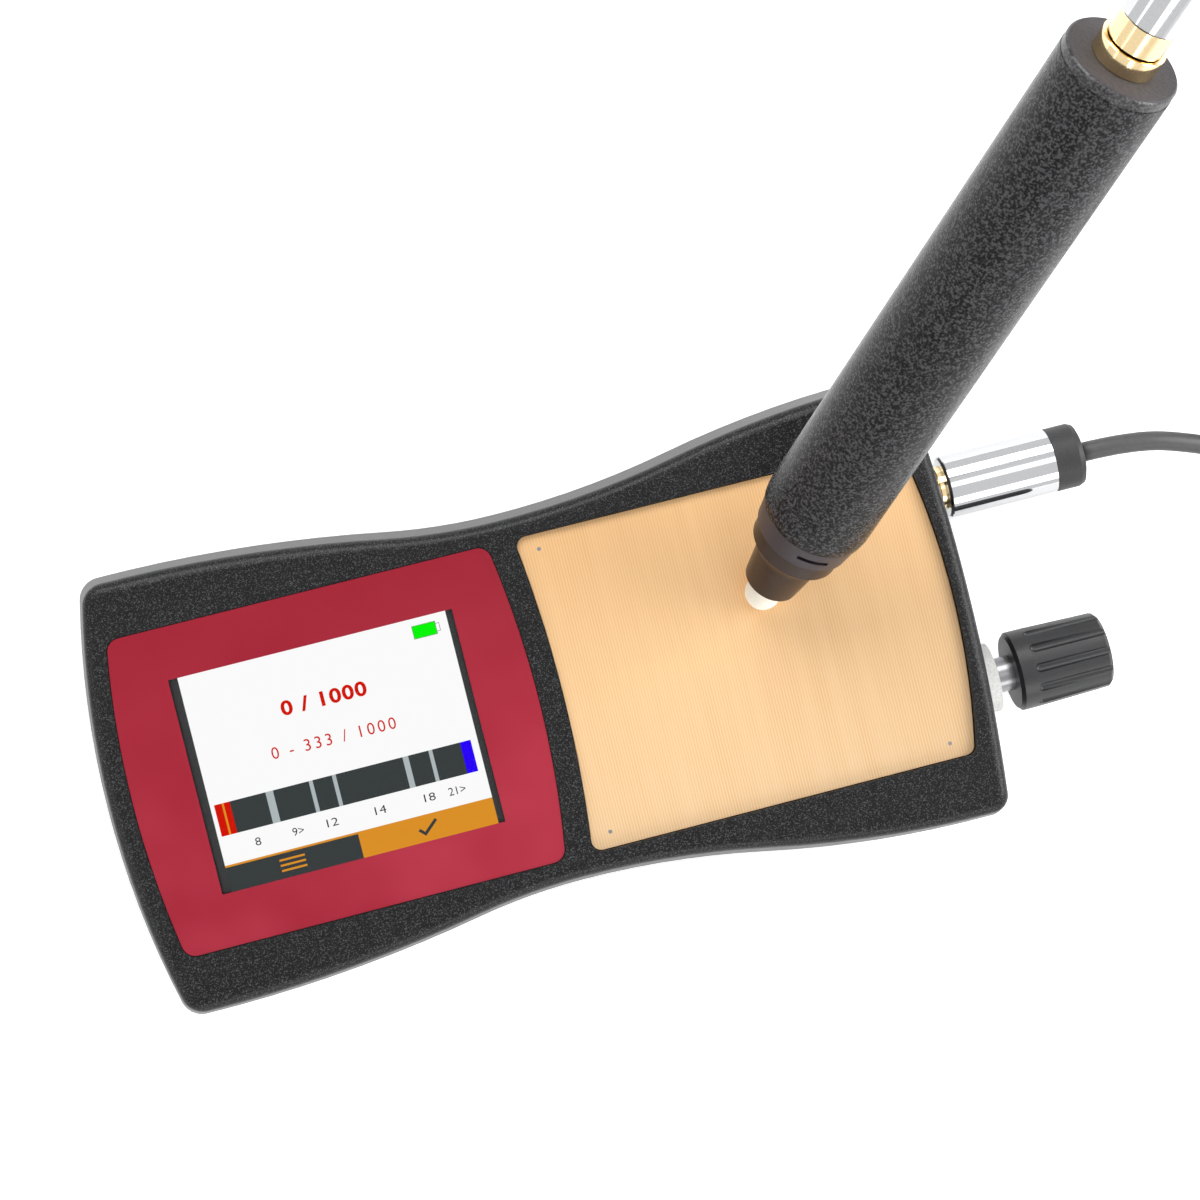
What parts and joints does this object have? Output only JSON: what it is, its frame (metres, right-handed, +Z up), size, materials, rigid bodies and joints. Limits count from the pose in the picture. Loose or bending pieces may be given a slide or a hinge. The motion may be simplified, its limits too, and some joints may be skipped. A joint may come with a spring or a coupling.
{
  "type": "electronic gold tester",
  "caption": "Waisted hand-held gold tester with a display, a gold test plate and a contact pen on a lead, with a screw post and a phono socket in its end wall.",
  "frame": {"origin": "centre of the housing's footprint on the underside of its base, 0.8 mm above the table on its feet", "axes": "+X from the display end to the connector end, +Y across the housing, +Z up"},
  "size_m": [0.331, 0.19, 0.2106],
  "materials": {
    "housing_plastic": "fine-grained black ABS",
    "foil": "satin crimson polyester foil",
    "touch_glass": "clear, polished",
    "screen": "lit display behind glass",
    "sheet_steel": "bright rolled",
    "circuit_board": "green solder mask",
    "steel": "turned",
    "black_plastic": "moulded",
    "flex": "amber film",
    "cell_wrap": "printed sleeve, plain",
    "wire": "wire insulation",
    "plate_gold": "gold plate with fine crosswise lines",
    "rubber": "soft",
    "gold": "polished gold plate",
    "pale_nylon": "moulded",
    "lead_jacket": "satin dark grey PVC",
    "tie": "hook and loop",
    "chrome": "mirror",
    "plug_plastic": "fine matt",
    "cap_plastic": "satin moulded",
    "pen_plastic": "grainy sintered nylon",
    "nose_plastic": "satin dark plastic",
    "tip_felt": "porous cream felt"
  },
  "bodies": {
    "housing": {"top_cover": "housing_plastic", "bottom_cover": "housing_plastic", "front_foil": "foil", "touch_panel": "touch_glass", "display_panel": "screen", "display_frame": "sheet_steel", "display_board": "circuit_board", "display_screws": "steel", "main_board": "circuit_board", "board_components": "black_plastic", "board_screws": "steel", "buzzer": "black_plastic", "ribbon_cable": "flex", "cells": "cell_wrap", "battery_contacts": "sheet_steel", "inner_leads": "wire", "test_plate": "plate_gold", "plate_pins": "steel", "housing_screws": "steel", "rubber_feet": "rubber", "socket_body": "gold", "socket_insulator": "black_plastic", "socket_contact": "gold", "socket_nut": "gold", "post_stud": "steel", "post_flange": "pale_nylon", "post_bush": "black_plastic", "post_nuts": "steel", "post_lug": "sheet_steel", "lead_floor_run": "lead_jacket", "lead_pen_run": "lead_jacket", "lead_coil": "lead_jacket", "coil_tie": "tie"},
    "battery_door": {"battery_door": "housing_plastic"},
    "post_insert": {"post_insert": "steel"},
    "post_cap": {"post_cap": "cap_plastic"},
    "device_plug": {"device_plug_pin": "gold", "device_plug_insulator": "black_plastic", "device_plug_sleeve": "gold", "device_plug_barrel": "chrome", "device_plug_collar": "plug_plastic"},
    "pen": {"pen_barrel": "pen_plastic", "pen_end_cap": "pen_plastic", "gel_cartridge": "black_plastic", "electrode_rod": "steel", "pen_wire": "wire", "pen_socket_body": "gold", "pen_socket_insulator": "black_plastic", "pen_socket_contact": "gold"},
    "pen_nose": {"pen_nose": "nose_plastic", "lock_ring": "nose_plastic", "pen_seal": "rubber", "pen_tip": "tip_felt"},
    "pen_plug": {"pen_plug_pin": "gold", "pen_plug_insulator": "black_plastic", "pen_plug_sleeve": "gold", "pen_plug_barrel": "chrome", "pen_plug_collar": "plug_plastic"}
  },
  "joints": [
    {"name": "battery_door_slide", "type": "slide", "parent": "housing", "child": "battery_door", "axis": [-1, 0, 0], "range_m": [0, 0.062]},
    {"name": "post_travel", "type": "slide", "parent": "housing", "child": "post_insert", "axis": [1, 0, 0], "range_m": [-0.0009, 0.00505]},
    {"name": "post_turn", "type": "hinge", "parent": "post_insert", "child": "post_cap", "pos_m": [0.1168, -0.0216, 0.015], "axis": [1, 0, 0], "range_deg": [-437.1, 2571.4]},
    {"name": "device_plug_pull", "type": "slide", "parent": "housing", "child": "device_plug", "axis": [1, 0, 0], "range_m": [0, 0.009], "deforming": ["lead_floor_run"]},
    {"name": "pen_lift", "type": "slide", "parent": "housing", "child": "pen", "axis": [0.4494, 0.5044, 0.7373], "range_m": [0, 0.04], "deforming": ["lead_pen_run"]},
    {"name": "pen_nose_turn", "type": "hinge", "parent": "pen", "child": "pen_nose", "pos_m": [0.04982, 0.00882, 0.03768], "axis": [0.4494, 0.5044, 0.7373], "range_deg": [0, 90]},
    {"name": "pen_plug_pull", "type": "slide", "parent": "pen", "child": "pen_plug", "axis": [0.4494, 0.5044, 0.7373], "range_m": [0, 0.009], "deforming": ["lead_pen_run"]}
  ],
  "couplings": [
    {"joint": "post_travel", "follows": "post_turn", "m_per_rad": 0.00011141}
  ]
}
